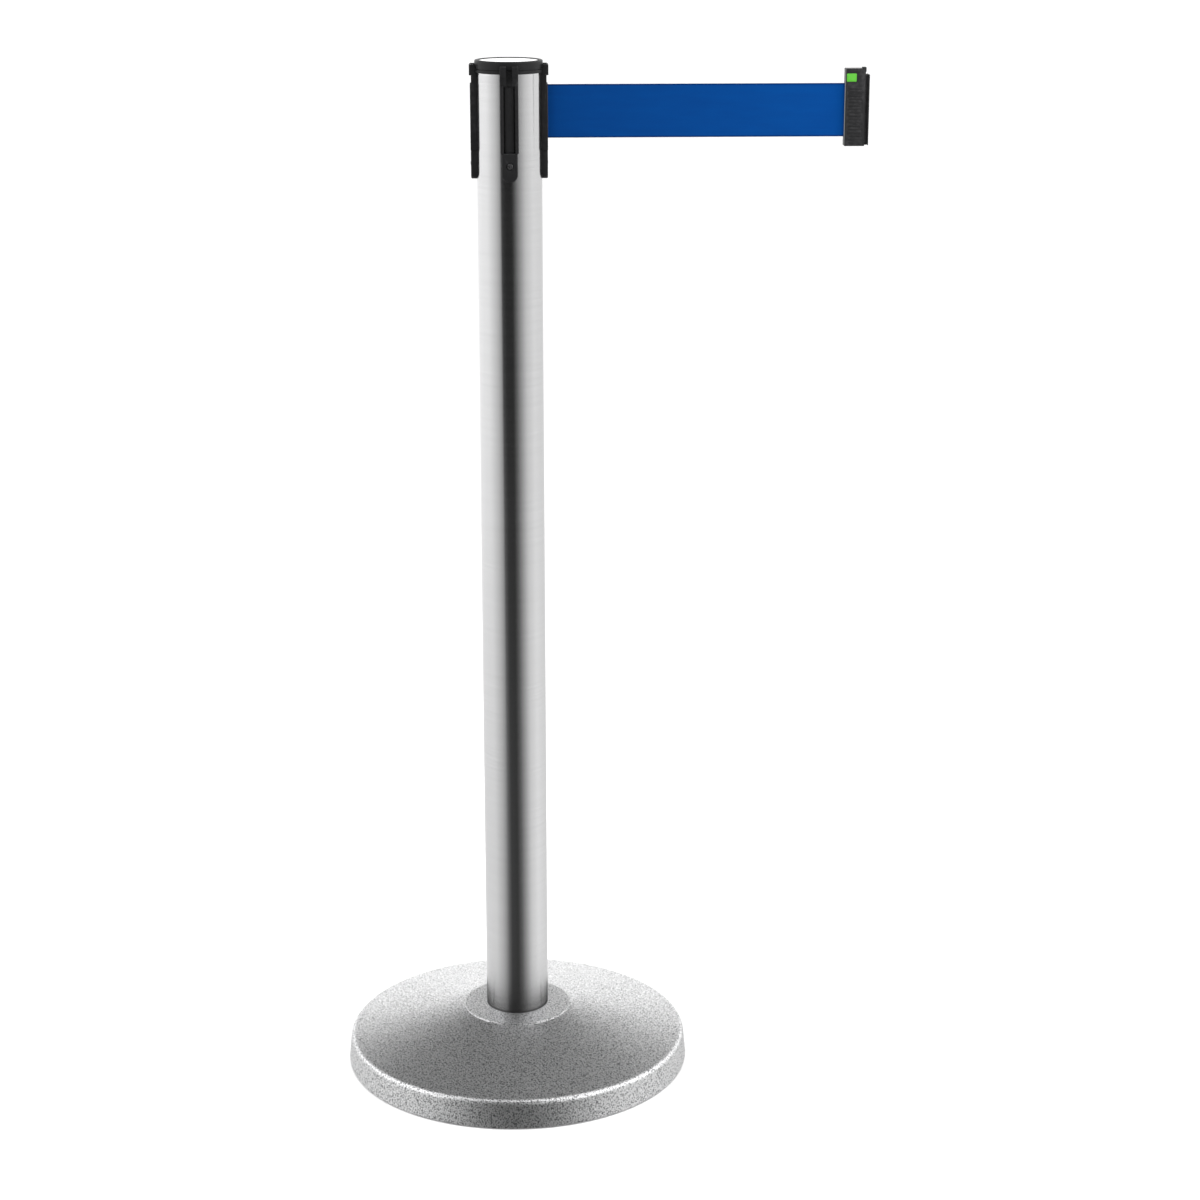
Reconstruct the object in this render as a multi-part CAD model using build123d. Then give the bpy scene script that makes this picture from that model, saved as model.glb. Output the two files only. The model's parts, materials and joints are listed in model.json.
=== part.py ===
from build123d import *
import math
import os

# Retractable belt stanchion: weighted base, tube, four-way head, belt cassette and belt end.
# Millimetres, +Z up, origin on the floor under the tube's axis, belt paid out along +X.

# ---------------------------------------------------------------- overall sizes
overall_height = 1020.0  # floor to the top of the head ring
tube_diameter = 63.0
tube_wall = 1.5
base_diameter = 350.0
belt_width = 50.0
belt_thickness = 0.45
belt_top_drop = 23.0  # belt's upper edge below the top of the head ring
belt_out = 318.0  # post's axis to the near edge of the belt end

# ---------------------------------------------------------------- clearances
press_gap = 0.03  # pushed or screwed in
fit_gap = 0.1  # slides or seats
free_gap = 0.3  # never meant to touch

# ---------------------------------------------------------------- base
cover_lift = 1.5  # cover's lower edge above the floor
cover_sheet = 1.2
rim_height = 29.0
rim_lean = 2.5
rim_round = 2.4
hub_height = 57.0  # flat seat for the tube
hub_radius = 54.5
hub_step = 1.6
weight_lift = 2.0
weight_plate = 8.0
weight_side_gap = 3.2
weight_hub_radius = 44.0
rib_count = 6
rib_width = 8.0
rib_end_radius = 150.0
floor_ring_width = 8.0
floor_ring_inset = 2.0
floor_ring_depth = 3.0  # how far it is let into the casting
spigot_radius = 26.0
spigot_length = 9.0
plug_length = 40.0
plug_wall = 4.0
plug_web = 3.0
plug_floor = 12.0
plug_boss_radius = 12.0
bolt_radius = 6.0
bolt_length = 70.0
bolt_head_height = 7.5
bolt_head_flats = 18.0
bolt_hole_radius = 6.6
washer_radius = 15.0
washer_thickness = 2.5
spring_washer_radius = 10.2
spring_washer_thickness = 2.5
pocket_radius = 20.0
pocket_depth = 20.0

# ---------------------------------------------------------------- head ring and top disc
ring_height = 11.5
ring_overhang = 0.7
ring_foot_height = 3.0
ring_foot_proud = 0.35
ring_chamfer = 0.8
disc_radius = 28.0
disc_thickness = 1.5
disc_sunk = 0.8
ring_floor = 3.0
ring_screw_circle = 20.0
ring_screw_count = 3
ring_screw_radius = 1.5
ring_screw_sink = 1.6

# ---------------------------------------------------------------- receivers on the four sides
arm_width = 17.0
arm_wall = 1.5
arm_web = 0.6
arm_round = 0.7
arm_depth = 5.1  # how far the rails stand out from the tube
lip_thickness = 1.5
rail_gap = 11.0
floor_strip_width = 8.7
floor_strip_drop = 23.5
arm_foot = 3.2  # lower end of the rails, below a docked tongue
block_drop = 3.7
block_height = 10.3
block_depth = 5.8
block_round = 1.5
neck_slot = 5.8
notch_height = 8.0
notch_depth = 1.1
outlet_slot = 3.4
tab_width = 15.0
tab_length = 27.0
tab_sunk = 0.15
tab_chamfer = 0.8
tab_screw_inset = 12.0  # below the rails
tab_screw_radius = 1.9
tab_screw_length = 9.5
tab_screw_head_radius = 3.3
tab_screw_head = 2.0

# ---------------------------------------------------------------- cassette
shell_wall = 2.2
shell_top_wall = 3.0
shell_side_gap = 0.4  # between the cassette and the tube
shell_floor_room = 14.0  # for the lower screws, under the thrust washer
shaft_radius = 3.0
shaft_tail = 3.0
shell_screw_offset = 18.0
shell_screw_boss = 3.2
shell_screw_radius = 1.25
shell_screw_head_radius = 2.5
shell_screw_head = 1.8
shell_screw_front = 12.0
shell_screw_rear = 8.0
screw_boss_inset = 6.0  # screw line from the shell's inner end faces
window_width = 6.0
window_margin = 2.0  # window's ends past the belt's edges
guide_slot = 1.6
pin_radius = 1.5
pin_inset = 2.2  # guide pins' line from the shell's inner wall
ledge_width = 9.0
ledge_height = 3.0
ledge_depth = 4.0
ledge_lift = 0.8
ledge_clear = 1.0

# ---------------------------------------------------------------- spool, spring and brake
spool_hub_radius = 8.0
wound_length = 2000.0  # belt still on the spool
wound_pitch = 0.55  # one turn to the next
flange_side_gap = 4.4
flange_thickness = 1.5
flange_hole_radius = 3.2
flange_hole_circle = 15.5
flange_margin = 1.0
bush_wall = 1.5
bush_length = 6.0
bush_flange = 1.0
bush_flange_radius = 6.0
spool_foot_radius = 10.0
spool_foot_height = 4.5
core_pin_radius = 1.0
core_pin_circle = 6.4
drum_side_gap = 3.4
drum_wall = 1.5
drum_height = 26.0
drum_cover_thickness = 2.0
drum_lip_width = 1.3
drum_lip_height = 0.7
drum_screw_circle = 7.3
drum_screw_radius = 1.0
drum_screw_count = 3
spring_strip = 0.3
spring_height = 22.0
spring_turns = 13
carrier_radius = 12.0
carrier_height = 9.0
carrier_neck = 3.0
carrier_neck_radius = 8.0
carrier_bar_width = 4.0
carrier_bar_end = 19.0
shoe_inner_radius = 14.0
shoe_half_angle = 52.0
shoe_height = 8.0
lining_thickness = 0.8
shoe_travel = 0.8
brake_drum_wall = 3.6
brake_drum_gap = 0.25
lining_rest_gap = 0.05
thrust_thickness = 3.0
thrust_radius = 6.5
leaf_spring_strip = 0.35
leaf_spring_bow = 1.5
leaf_spring_height = 6.0

# ---------------------------------------------------------------- belt end
end_width = 19.0
end_above = 13.7  # belt end's top, above the belt
end_below = 8.6
end_thickness = 13.0
end_wall = 2.0
mouth_gap = 0.35
end_round = 0.9
grip_rib_pitch = 3.15
grip_rib_height = 0.45
grip_rib_width = 1.3
grip_rib_margin = 3.3
grip_drop = 18.6  # first rib below the belt end's top
grip_foot = 3.3
tongue_head_width = 13.2
tongue_head = 1.3
tongue_neck_width = 5.0
tongue_root_width = 9.0
tongue_root = 1.8
tongue_root_depth = 3.4
tongue_top_drop = 5.4
tongue_lift = 0.8
belt_pin_radius = 1.5
belt_pin_inset = 8.0
belt_pin_gap = 0.15
loop_lead = 5.0
loop_tail = 4.5
end_screw_radius = 1.25
end_screw_inset = 4.6
end_screw_wall = 1.5
end_screw_head_radius = 2.4
end_screw_head = 1.6
inlay_width = 9.3
inlay_height = 7.6
inlay_drop = 4.4
inlay_edge = 0.3
inlay_depth = 0.6
inlay_proud = 0.15
inlay_round = 0.8
button_width = 3.0
button_depth = 5.4
button_proud = 1.2
button_nose = 0.9
button_link = 4.6
button_link_thickness = 0.9
button_link_half = 2.0
button_travel = 2.0
button_spring_room = 7.5
button_spring_radius = 1.6
button_spring_wire = 0.4
button_spring_turns = 6

# ---------------------------------------------------------------- places worked out from the sizes
tube_radius = tube_diameter / 2
tube_bore = tube_radius - tube_wall
base_radius = base_diameter / 2
tube_bottom = hub_height
tube_top = overall_height - ring_height
belt_z = overall_height - belt_top_drop - belt_width / 2
ring_radius = tube_radius + ring_overhang
ring_floor_top = overall_height - disc_sunk - disc_thickness
shell_radius = tube_bore - shell_side_gap
shell_bore = shell_radius - shell_wall
shell_top = ring_floor_top - ring_floor
flange_radius = shell_bore - flange_side_gap
drum_radius = shell_bore - drum_side_gap
pin_offset = shell_bore - pin_inset
ledge_start = shell_bore - ledge_depth
flange_low = belt_z - belt_width / 2 - flange_margin
flange_high = belt_z + belt_width / 2 + flange_margin
drum_top = flange_low - flange_thickness - spool_foot_height
drum_low = drum_top - drum_height
cover_low = drum_low - drum_cover_thickness
carrier_low = cover_low - carrier_neck - carrier_height
shell_bottom = carrier_low - thrust_thickness - shell_floor_room - shell_top_wall
shoe_low = carrier_low + (carrier_height - shoe_height) / 2
brake_outer = shell_bore - brake_drum_gap
brake_radius = brake_outer - brake_drum_wall
shoe_radius = brake_radius - lining_rest_gap - shoe_travel - lining_thickness
roll_radius = math.sqrt(spool_hub_radius**2 + wound_length * wound_pitch / math.pi)
block_top = overall_height - block_drop
block_low = block_top - block_height
arm_face = tube_radius + arm_depth
web_face = tube_radius + fit_gap + arm_web
lip_back = arm_face - lip_thickness
strip_face = lip_back - 3 * fit_gap - tongue_head
strip_top = overall_height - floor_strip_drop
tongue_neck = block_depth - arm_depth + lip_thickness + 2 * fit_gap
end_near = belt_out
end_far = belt_out + end_width
end_top = belt_z + belt_width / 2 + end_above
end_low = belt_z - belt_width / 2 - end_below
tongue_low = end_low + tongue_lift
tongue_top = end_top - tongue_top_drop
arm_low = tongue_low - arm_foot
tab_screw_z = arm_low - tab_screw_inset
grip_rib_count = round((end_top - end_low - grip_drop - grip_foot) / grip_rib_pitch) + 1
sides = {"right": 0, "rear": 90, "left": 180, "front": 270}  # turn about Z, in degrees
receivers = ("rear", "left", "front")  # the sides that take another post's belt


def turned(profile):
    """A closed outline of (radius, height) points, spun about the post's axis."""
    return revolve(Plane.XZ * make_face(Polyline(*profile, close=True)), Axis.Z)


def ring_solid(outer, inner, low, high):
    """A plain ring about the post's axis."""
    return turned([(inner, low), (outer, low), (outer, high), (inner, high)])


def rod(radius, low, high, x=0.0, y=0.0):
    """An upright cylinder."""
    return Pos(x, y, (low + high) / 2) * Cylinder(radius, high - low)


def block(x0, x1, y0, y1, z0, z1):
    """A box between two corners."""
    return Pos((x0 + x1) / 2, (y0 + y1) / 2, (z0 + z1) / 2) * Box(x1 - x0, y1 - y0, z1 - z0)


def about_post(angle, shape):
    return Rot(0, 0, angle) * shape


def cross_screw(head_radius, head, shank_radius, length):
    """A pan-head cross-recess screw along -Z, with the underside of its head at the origin."""
    body = Pos(0, 0, head / 2) * Cylinder(head_radius, head)
    body = fillet(body.edges().sort_by(Axis.Z)[-1], head * 0.4)
    body += Pos(0, 0, -length / 2) * Cylinder(shank_radius, length)
    tip = body.edges().sort_by(Axis.Z)[0]
    body = chamfer(tip, shank_radius * 0.4)
    arm = head_radius * 0.28
    slot = Box(head_radius * 1.15, arm, head) + Box(arm, head_radius * 1.15, head)
    return body - Pos(0, 0, head * 1.1) * slot


# ================================================================ base
def rim_radius_at(height):
    return base_radius - rim_lean * (height - cover_lift) / (rim_height - cover_lift)


def base_cover():
    """Pressed sheet dish: leaning rim, shallow cone and a flat raised seat for the tube."""
    sheet = cover_sheet
    seat_edge = hub_radius - hub_step / 2
    rim_top = base_radius - rim_lean
    outside = turned([(0, cover_lift), (base_radius, cover_lift), (rim_top, rim_height),
                      (hub_radius, hub_height - hub_step), (seat_edge, hub_height), (0, hub_height)])
    rim_edge = outside.edges().filter_by(GeomType.CIRCLE).sort_by(SortBy.RADIUS)[-2]
    outside = fillet(rim_edge, rim_round + sheet)
    inside = turned([(0, 0), (base_radius - sheet, 0), (base_radius - sheet, cover_lift),
                     (rim_top - sheet, rim_height - sheet),
                     (hub_radius - sheet / 2, hub_height - hub_step - sheet),
                     (seat_edge - sheet / 2, hub_height - sheet), (0, hub_height - sheet)])
    inner_edge = inside.edges().filter_by(GeomType.CIRCLE).sort_by(SortBy.RADIUS)[-3]
    inside = fillet(inner_edge, rim_round)
    return outside - inside - rod(spigot_radius + fit_gap * 4, 0, hub_height + 1)


def base_weight():
    """Iron casting: flat plate, ribs and a hub that carries the cover's seat."""
    low, plate_top = weight_lift, weight_lift + weight_plate
    outer = base_radius - cover_sheet - weight_side_gap
    hub_top = hub_height - cover_sheet
    casting = turned([(0, low), (outer, low), (outer, plate_top), (weight_hub_radius + 6, plate_top),
                      (weight_hub_radius, plate_top + 6), (weight_hub_radius, hub_top), (0, hub_top)])
    slope = (hub_height - hub_step - rim_height) / (base_radius - rim_lean - hub_radius)
    rib_inner = hub_top - 6
    rib_outer = rib_inner - slope * (rib_end_radius - weight_hub_radius)
    rib_face = Polyline((weight_hub_radius - 4, plate_top - 1), (rib_end_radius + 14, plate_top - 1),
                        (rib_end_radius, rib_outer), (weight_hub_radius - 4, rib_inner), close=True)
    rib = extrude(Plane.XZ * make_face(rib_face), rib_width / 2, both=True)
    for k in range(rib_count):
        casting += about_post(360 / rib_count * k, rib)
    groove_outer = outer - floor_ring_inset + fit_gap
    groove_inner = outer - floor_ring_inset - floor_ring_width - fit_gap
    casting -= ring_solid(groove_outer, groove_inner, low - 1, low + floor_ring_depth)
    casting -= rod(pocket_radius, low - 1, low + pocket_depth)
    casting -= rod(bolt_hole_radius, low, hub_top + 1)
    casting -= rod(spigot_radius + fit_gap * 2, tube_bottom - spigot_length - free_gap, hub_top + 1)
    return casting


def floor_ring():
    outer = base_radius - cover_sheet - weight_side_gap - floor_ring_inset
    ring = ring_solid(outer, outer - floor_ring_width, 0, weight_lift + floor_ring_depth)
    return chamfer(ring.edges().sort_by(Axis.Z)[:2], 0.6)


def washer_low():
    return weight_lift + pocket_depth - washer_thickness


def bolt_washer():
    low = washer_low()
    return ring_solid(washer_radius, bolt_radius + free_gap, low, low + washer_thickness)


def spring_washer():
    """Split lock washer between the bolt's head and the flat washer."""
    high = washer_low()
    low = high - spring_washer_thickness
    ring = ring_solid(spring_washer_radius, bolt_radius + free_gap, low, high)
    gap = Rot(0, 25, 0) * Box(1.4, spring_washer_radius * 2, spring_washer_thickness * 3)
    return ring - Pos(0, spring_washer_radius + 2, (low + high) / 2) * gap


def base_bolt():
    seat = washer_low() - spring_washer_thickness
    head = extrude(RegularPolygon(bolt_head_flats / 2, 6, major_radius=False), bolt_head_height)
    head = Pos(0, 0, seat - bolt_head_height) * head
    head &= Pos(0, 0, seat - bolt_head_height / 2) * Sphere(bolt_head_flats * 0.62)
    shank = rod(bolt_radius, seat, seat + bolt_length)
    return head + chamfer(shank.edges().sort_by(Axis.Z)[-1], 1.0)


def tube_plug():
    """Cast plug pressed into the tube's foot, with a spigot into the base and a tapped boss."""
    low, high = tube_bottom, tube_bottom + plug_length
    radius = tube_bore - press_gap
    body = rod(radius, low, high) + rod(spigot_radius, low - spigot_length, low)
    body -= ring_solid(radius - plug_wall, plug_boss_radius, low + plug_floor, high + 1)
    web = block(-radius + 1, radius - 1, -plug_web / 2, plug_web / 2, low + plug_floor - 1, high - 4)
    body += web + about_post(90, web)
    bolt_end = washer_low() - spring_washer_thickness + bolt_length
    body -= rod(bolt_radius + press_gap, low - spigot_length - 1, max(bolt_end + 3, high + 1))
    return body


# ================================================================ tube and head
def belt_window(width, x0, x1):
    """The upright slot that the belt leaves through, cut on the +X side."""
    half = belt_width / 2 + window_margin
    return block(x0, x1, -width / 2, width / 2, belt_z - half, belt_z + half)


def tube():
    pipe = ring_solid(tube_radius, tube_bore, tube_bottom, tube_top)
    pipe -= belt_window(window_width, 0, tube_radius + 2)
    hole = Pos(tube_radius, 0, tab_screw_z) * Rot(0, 90, 0) * Cylinder(tab_screw_radius + free_gap, 8)
    for angle in sides.values():
        pipe -= about_post(angle, hole)
    return pipe


def head_ring():
    """Moulded ring that caps the tube, seats the top disc and holds the cassette's top."""
    foot = ring_radius + ring_foot_proud
    foot_top = tube_top + ring_foot_height
    body = turned([(0, tube_top), (foot, tube_top), (foot, foot_top), (ring_radius, foot_top),
                   (ring_radius, overall_height - ring_chamfer),
                   (ring_radius - ring_chamfer, overall_height), (0, overall_height)])
    body -= rod(disc_radius + fit_gap, ring_floor_top, overall_height + 1)
    body -= rod(shell_radius + fit_gap * 2, tube_top - 1, shell_top)
    for k in range(ring_screw_count):
        hole = rod(ring_screw_radius + fit_gap, shell_top - 1, ring_floor_top + 1, ring_screw_circle)
        sink = rod(ring_screw_radius * 2 + fit_gap, ring_floor_top - ring_screw_sink, ring_floor_top + 1,
                   ring_screw_circle)
        body -= about_post(360 / ring_screw_count * k, hole + sink)
    return body


def ring_screws():
    screw = cross_screw(ring_screw_radius * 2, 1.5, ring_screw_radius, 5.0)
    screw = Pos(ring_screw_circle, 0, ring_floor_top - ring_screw_sink) * screw
    return Compound([about_post(360 / ring_screw_count * k, screw) for k in range(ring_screw_count)])


def top_disc():
    disc = rod(disc_radius, ring_floor_top, ring_floor_top + disc_thickness)
    return chamfer(disc.edges().sort_by(Axis.Z)[-1], 0.3)


def arm(with_outlet):
    """Receiver on the +X side: a channel with two lips, a raised floor strip and an entry block on top."""
    half, wall = arm_width / 2, arm_wall
    back = tube_radius - 2
    rails = block(back, arm_face, -half, half, arm_low, block_low)
    entry = block(back, tube_radius + block_depth, -half, half, block_low, block_top)
    body = fillet(rails.edges().filter_by(Axis.Z).sort_by(Axis.X)[-2:], arm_round)
    entry = fillet(entry.edges().filter_by(Axis.Y).sort_by(SortBy.DISTANCE)[-1], block_round)
    body += fillet(entry.edges().filter_by(Axis.Z).sort_by(Axis.X)[-2:], arm_round)
    body -= block(web_face, lip_back, wall - half, half - wall, arm_low - 1, block_top + 1)
    beyond = arm_face + 9
    notch_low = block_low - notch_height
    body -= block(web_face, beyond, -rail_gap / 2, rail_gap / 2, arm_low - 1, notch_low)
    body -= block(web_face, beyond, -neck_slot / 2, neck_slot / 2, arm_low - 1, block_top + 1)
    body -= block(arm_face - notch_depth, beyond, -half - 1, half + 1, notch_low, block_low)
    strip_half = floor_strip_width / 2
    strip = block(web_face - 0.2, strip_face, -strip_half, strip_half, arm_low, strip_top)
    body += chamfer(strip.edges().filter_by(Axis.Z).sort_by(Axis.X)[-2:], 0.4)
    foot = ring_radius + ring_foot_proud + fit_gap
    body -= rod(tube_radius + fit_gap, arm_low - 1, tube_top)
    body -= rod(foot, tube_top - fit_gap, overall_height + 1)
    if with_outlet:
        body -= belt_window(outlet_slot, 0, beyond)
    return body


def tab_screw_axis(radius):
    return Pos(radius, 0, tab_screw_z) * Rot(0, 90, 0)


def tab():
    """Round-ended block that closes the channel's foot and takes the fixing screw."""
    face, half = arm_face - tab_sunk, tab_width / 2
    round_z = arm_low - tab_length + half
    body = block(tube_radius - 2, face, -half, half, round_z, arm_low)
    foot = Cylinder(half, face - tube_radius + 2)
    body += Pos((tube_radius - 2 + face) / 2, 0, round_z) * Rot(0, 90, 0) * foot
    body = chamfer(body.faces().sort_by(Axis.X)[-1].edges(), tab_chamfer)
    body -= rod(tube_radius + fit_gap, round_z - half - 1, arm_low + 1)
    body -= tab_screw_axis(tube_radius) * Cylinder(tab_screw_radius + fit_gap, 20)
    sink_floor = arm_face - tab_sunk - tab_screw_head
    body -= tab_screw_axis(sink_floor + 5) * Cylinder(tab_screw_head_radius + fit_gap, 10)
    return body


def arm_screws():
    screw = cross_screw(tab_screw_head_radius, tab_screw_head * 0.85, tab_screw_radius, tab_screw_length)
    seat = arm_face - tab_sunk - tab_screw_head
    screw = Pos(seat, 0, tab_screw_z) * Rot(0, 90, 0) * screw
    return Compound([about_post(angle, screw) for angle in sides.values()])


# ================================================================ cassette
def shell_screw_places():
    """(x, z) of the four screws that hold the two shells together."""
    high = shell_top - shell_top_wall - screw_boss_inset
    low = shell_bottom + shell_top_wall + screw_boss_inset
    return [(x, z) for x in (-shell_screw_offset, shell_screw_offset) for z in (low, high)]


def shell_blank():
    """The whole cassette body, before it is split into a front and a rear shell."""
    floor_top, roof = shell_bottom + shell_top_wall, shell_top - shell_top_wall
    body = rod(shell_radius, shell_bottom, shell_top) - rod(shell_bore, floor_top, roof)
    cavity = rod(shell_bore + 1, floor_top, roof)
    for x, z in shell_screw_places():
        boss = Pos(x, 0, z) * Rot(90, 0, 0) * Cylinder(shell_screw_boss, 2 * shell_radius)
        body += boss & cavity
    body += rod(thrust_radius, floor_top - 1, carrier_low - thrust_thickness)
    body += rod(bush_flange_radius, flange_high + flange_thickness + bush_flange + 0.4, roof + 1)
    for low in (drum_top + ledge_lift, flange_high + flange_thickness + ledge_clear):
        ledge = block(ledge_start, shell_bore + 1, -ledge_width / 2, ledge_width / 2,
                      low, low + ledge_height)
        body += ledge & rod(shell_bore + 0.5, shell_bottom, shell_top)
    body -= rod(shaft_radius + press_gap, shell_bottom - 1, shell_top - 1)
    for y in guide_pin_lines():
        body -= rod(pin_radius + press_gap, guide_pin_low(), guide_pin_high(), pin_offset, y)
    body -= belt_window(window_width, pin_offset + pin_radius + 0.4, tube_radius)
    for angle in sides.values():
        hole = tab_screw_axis(shell_radius) * Cylinder(tab_screw_radius + press_gap, 12)
        body -= about_post(angle, hole)
    for k in range(ring_screw_count):
        hole = rod(ring_screw_radius + press_gap, shell_top - 5.5, shell_top + 1, ring_screw_circle)
        body -= about_post(360 / ring_screw_count * k, hole)
    return body


def shell_screw_line(x, z, radius, y0, y1):
    return Pos(x, (y0 + y1) / 2, z) * Rot(90, 0, 0) * Cylinder(radius, y1 - y0)


def cassette_front(blank):
    big = shell_radius + 1
    half = blank & block(-big, big, -big, 0, shell_bottom - 1, shell_top + 1)
    for x, z in shell_screw_places():
        half -= shell_screw_line(x, z, shell_screw_radius + fit_gap, -big, 0)
        half -= shell_screw_line(x, z, shell_screw_head_radius + fit_gap, -big, -shell_screw_front)
    return half


def cassette_rear(blank):
    big = shell_radius + 1
    half = blank & block(-big, big, 0, big, shell_bottom - 1, shell_top + 1)
    for x, z in shell_screw_places():
        half -= shell_screw_line(x, z, shell_screw_radius + press_gap, -1, shell_screw_rear + 1)
    return half


def cassette_screws():
    screw = cross_screw(shell_screw_head_radius, shell_screw_head, shell_screw_radius,
                        shell_screw_front + shell_screw_rear)
    screw = Rot(90, 0, 0) * screw
    return Compound([Pos(x, -shell_screw_front, z) * screw for x, z in shell_screw_places()])


def spool_shaft():
    """Fixed axle, slotted for the inner end of the main spring."""
    shaft = rod(shaft_radius, shell_bottom - shaft_tail, shell_top - 1 - free_gap)
    shaft = chamfer(shaft.edges().sort_by(Axis.Z)[0], 0.5)
    slot_low = drum_low + 1
    shaft -= block(-0.3, shaft_radius + 1, -0.3, 0.3, slot_low, slot_low + spring_height + 1)
    groove_low = shell_bottom - 1.2
    return shaft - ring_solid(shaft_radius + 1, shaft_radius - 0.6, groove_low, groove_low + 1.0)


def shaft_clip():
    """Open retaining ring in the shaft's groove, under the cassette."""
    low = shell_bottom - 1.1
    ring = ring_solid(shaft_radius + 2.6, shaft_radius - 0.55, low, low + 0.8)
    return ring - block(0, 8, -1.8, 1.8, low - 1, low + 2)


def guide_pin_low():
    return drum_top + 2 * ledge_lift


def guide_pin_high():
    return flange_high + flange_thickness + ledge_clear + ledge_height - ledge_lift


def guide_pin_lines():
    """Y of the two guide pins, so that the belt passes between them on the post's centre plane."""
    offset = pin_radius + belt_thickness / 2 + fit_gap
    return (-offset, offset)


def guide_pins():
    low, high = guide_pin_low(), guide_pin_high()
    return Compound([rod(pin_radius, low, high, pin_offset, y) for y in guide_pin_lines()])


def belt_guide():
    """Nylon eyelet that lines the tube's window."""
    half = belt_width / 2 + window_margin - fit_gap
    inner, outer = shell_bore + 0.6, tube_radius - 0.1
    side = window_width / 2 - fit_gap
    body = block(inner, outer, -side, side, belt_z - half, belt_z + half)
    open_half = belt_width / 2 + window_margin / 2
    slot = block(inner - 1, outer + 1, -guide_slot / 2, guide_slot / 2,
                 belt_z - open_half, belt_z + open_half)
    return body - slot


# ================================================================ spool, main spring and brake
def spiral(inner, pitch, turns):
    """A flat spiral of half circles, each half a pitch larger than the last, from the -X side."""
    arcs = []
    radius, centre, side = inner, 0.0, 1
    for _ in range(round(turns * 2)):
        arcs.append(CenterArc((centre, 0), radius, 0 if side > 0 else 180, 180))
        radius += pitch / 2
        centre -= side * pitch / 2
        side = -side
    return arcs


def belt_roll():
    """The belt still wound on the spool."""
    inner = spool_hub_radius + fit_gap + belt_thickness / 2
    turns = math.floor((roll_radius - inner) / wound_pitch)
    face = trace(spiral(inner, wound_pitch, turns), belt_thickness)
    return Pos(0, 0, belt_z - belt_width / 2) * extrude(face, belt_width)


def main_spring():
    """Power spring between the fixed shaft and the drum, wound flat."""
    inner = shaft_radius + 0.6
    outer = drum_radius - drum_wall - 0.9
    pitch = (outer - inner) / spring_turns
    coil = trace(spiral(inner, pitch, spring_turns), spring_strip)
    hook = trace(Line((inner, 0), (1.2, 0)), spring_strip)
    return Pos(0, 0, drum_low + 1) * extrude(coil + hook, spring_height)


def spool():
    low, high = flange_low - flange_thickness, flange_high + flange_thickness
    bore = shaft_radius + fit_gap / 2 + bush_wall
    body = rod(spool_hub_radius, low, high)
    for flange in (low, flange_high):
        plate = rod(flange_radius, flange, flange + flange_thickness)
        for k in range(6):
            hole = rod(flange_hole_radius, flange - 1, flange + 3, flange_hole_circle)
            plate -= about_post(60 * k + 30, hole)
        body += plate
    body += rod(spool_foot_radius, drum_top, low)
    body -= rod(bore + press_gap, drum_top - 1, high + 1)
    body -= block(core_pin_circle, spool_hub_radius + 1, -0.4, 0.4, flange_low, flange_high)
    body -= rod(core_pin_radius + press_gap, flange_low, flange_high, core_pin_circle)
    for k in range(drum_screw_count):
        hole = rod(drum_screw_radius + press_gap, drum_top - 1, drum_top + 3, drum_screw_circle)
        body -= about_post(360 / drum_screw_count * k + 60, hole)
    return body


def core_pin():
    return rod(core_pin_radius, flange_low + fit_gap, flange_high - fit_gap, core_pin_circle)


def bush(low, high, flange_up):
    """Flanged plain bearing on the shaft."""
    bore, outer = shaft_radius + fit_gap / 2, shaft_radius + fit_gap / 2 + bush_wall
    body = ring_solid(outer, bore, low, high)
    if flange_up:
        return body + ring_solid(bush_flange_radius, bore, high, high + bush_flange)
    return body


def upper_bush():
    high = flange_high + flange_thickness
    return bush(high - bush_length, high, True)


def lower_bush():
    return bush(cover_low, cover_low + drum_cover_thickness, False)


def spring_drum():
    """Cup under the spool that turns round the main spring."""
    body = rod(drum_radius, drum_low, drum_top)
    body -= rod(drum_radius - drum_wall, drum_low - 1, drum_top - drum_wall)
    body -= rod(shaft_radius + bush_wall + fit_gap, drum_low, drum_top + 1)
    for k in range(drum_screw_count):
        hole = rod(drum_screw_radius + fit_gap, drum_top - 3, drum_top + 1, drum_screw_circle)
        body -= about_post(360 / drum_screw_count * k + 60, hole)
    return body


def drum_screws():
    screw = Rot(180, 0, 0) * cross_screw(drum_screw_radius * 1.8, 0.9, drum_screw_radius, 3.6)
    screw = Pos(drum_screw_circle, 0, drum_top - drum_wall) * screw
    return Compound([about_post(360 / drum_screw_count * k + 60, screw) for k in range(drum_screw_count)])


def drum_cover():
    bore = shaft_radius + fit_gap / 2 + bush_wall + press_gap
    lip = drum_radius - drum_wall - fit_gap
    plate = ring_solid(drum_radius, bore, cover_low, drum_low)
    return plate + ring_solid(lip, lip - drum_lip_width, drum_low, drum_low + drum_lip_height)


def brake_carrier():
    """Turns with the drum and carries the two brake shoes on its bars."""
    body = rod(carrier_radius, carrier_low, carrier_low + carrier_height)
    body += rod(carrier_neck_radius, carrier_low + carrier_height, cover_low)
    mid = carrier_low + carrier_height / 2
    half = carrier_bar_width / 2
    body += block(-carrier_bar_end, carrier_bar_end, -half, half, mid - half, mid + half)
    return body - rod(shaft_radius + 0.2, carrier_low - 1, cover_low + 1)


def sector(inner, outer, low, high):
    """A ring cut down to the two-sided wedge that one brake shoe fills, about +X."""
    reach = outer * 2
    angle = math.radians(shoe_half_angle)
    wedge = make_face(Polyline((0, 0), (reach * math.cos(angle), reach * math.sin(angle)), (reach * 2, 0),
                               (reach * math.cos(angle), -reach * math.sin(angle)), close=True))
    return ring_solid(outer, inner, low, high) & Pos(0, 0, low - 1) * extrude(wedge, high - low + 2)


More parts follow.
